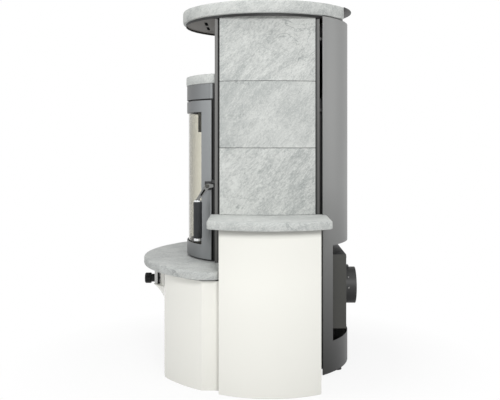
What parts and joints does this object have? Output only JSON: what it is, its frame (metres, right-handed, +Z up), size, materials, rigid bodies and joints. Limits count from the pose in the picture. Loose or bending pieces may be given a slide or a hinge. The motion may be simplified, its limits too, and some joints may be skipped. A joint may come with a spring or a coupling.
{
  "type": "tiled stove",
  "caption": "Round-fronted wood stove in a stone-tiled column, with stone side benches, a stone front shelf and glossy ceramic bases.",
  "frame": {"origin": "on the floor, under the middle of the bounding box", "axes": "+Z up, -Y towards the front with the fire door, +X to the right of someone who faces the door"},
  "size_m": [1.194, 0.8892, 1.455],
  "materials": {
    "stone": "honed light grey-green soapstone with pale and dark veins",
    "shelf_stone": "honed grey soapstone",
    "ceramic": "glossy cream white glaze",
    "grey_steel": "matt metallic grey stove paint",
    "dark_steel": "matt dark stove paint",
    "black_steel": "matt black stove paint",
    "cast_iron": "rough casting",
    "firebrick": "pressed light firebrick",
    "gasket": "braided glass fibre rope and tape",
    "chrome": "polished",
    "grip_rubber": "matt dark grey heat-proof plastic",
    "glass": "clear glass ceramic with a warm tint"
  },
  "bodies": {
    "root": {"air_stub": "black_steel", "ash_pan": "dark_steel", "back_panel": "grey_steel", "baffle_plate": "firebrick", "base_plate": "black_steel", "damper_chamber": "dark_steel", "drum_plinth": "black_steel", "firebox_shell": "black_steel", "firebrick_back": "firebrick", "firebrick_side_left": "firebrick", "firebrick_side_right": "firebrick", "flue_collar": "black_steel", "front_ceramic_centre": "ceramic", "front_ceramic_left": "ceramic", "front_ceramic_right": "ceramic", "front_post_left": "grey_steel", "front_post_right": "grey_steel", "front_shelf": "shelf_stone", "grate": "cast_iron", "header_band": "grey_steel", "hearth_slab": "firebrick", "hinge_bracket_lower": "black_steel", "hinge_bracket_upper": "black_steel", "latch_keeper": "black_steel", "levelling_foot_1": "black_steel", "levelling_foot_2": "black_steel", "levelling_foot_3": "black_steel", "levelling_foot_4": "black_steel", "niche_liner": "dark_steel", "niche_slab": "stone", "pedestal": "black_steel", "rear_air_box": "dark_steel", "rear_cover": "black_steel", "rear_post_left": "grey_steel", "rear_post_right": "grey_steel", "rod_guide": "chrome", "side_ceramic_left": "ceramic", "side_ceramic_right": "ceramic", "side_shelf_left": "stone", "side_shelf_right": "stone", "tile_lower_left": "stone", "tile_lower_right": "stone", "tile_middle_left": "stone", "tile_middle_right": "stone", "tile_upper_left": "stone", "tile_upper_right": "stone", "top_plate_stone": "stone", "top_tray": "dark_steel"},
    "door": {"door_frame": "grey_steel", "door_glass": "glass", "glass_seal": "gasket", "glass_retainer": "dark_steel", "door_seal": "gasket", "handle_bracket": "black_steel"},
    "handle": {"handle_lever": "dark_steel", "grip_core": "chrome", "handle_grip": "grip_rubber"},
    "air_control": {"air_knob": "grip_rubber", "air_rod": "chrome", "air_damper": "dark_steel"}
  },
  "joints": [
    {"name": "door_hinge", "type": "hinge", "parent": "root", "child": "door", "pos_m": [-0.249, -0.15167, 0.76], "axis": [0, 0, -1], "range_deg": [0, 105]},
    {"name": "handle_pivot", "type": "hinge", "parent": "door", "child": "handle", "pos_m": [0.254, -0.16567, 0.74], "axis": [-1, 0, 0], "range_deg": [0, 55]},
    {"name": "air_slide", "type": "slide", "parent": "root", "child": "air_control", "axis": [0, -1, 0], "range_m": [0, 0.06]}
  ]
}
